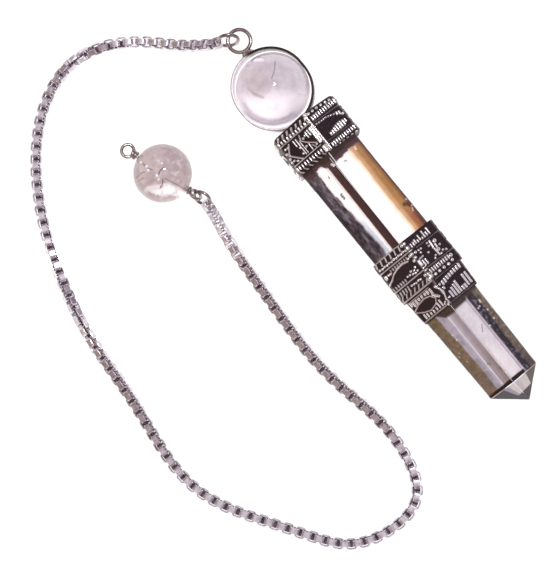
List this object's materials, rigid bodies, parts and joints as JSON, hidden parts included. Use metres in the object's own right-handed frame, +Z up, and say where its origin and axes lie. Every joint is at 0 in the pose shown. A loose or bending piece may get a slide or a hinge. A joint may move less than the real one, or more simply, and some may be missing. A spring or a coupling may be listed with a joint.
{
  "type": "dowsing pendulum",
  "caption": "Lying pendulum pendant: crystal ball in a strap, hexagonal crystal barrel and point joined by cast silver bands, with a box chain that ends in a crystal bead.",
  "frame": {"origin": "middle of the whole object's outline on the surface that it lies on", "axes": "+Z up, +Y along the pendant from its point to its ball, +X across it"},
  "size_m": [0.0587, 0.095, 0.0141],
  "materials": {
    "crystal": "polished rock crystal",
    "cast_silver": "cast, darkened in the recesses",
    "silver_wire": "polished"
  },
  "bodies": {
    "root": {"crystal_ball": "crystal", "head_setting": "cast_silver", "crystal_barrel": "crystal", "middle_band": "cast_silver", "crystal_point": "crystal", "eye_jump_ring": "silver_wire", "chain": "silver_wire", "bead_jump_ring": "silver_wire", "bead": "crystal", "bead_wire": "silver_wire"}
  },
  "joints": []
}
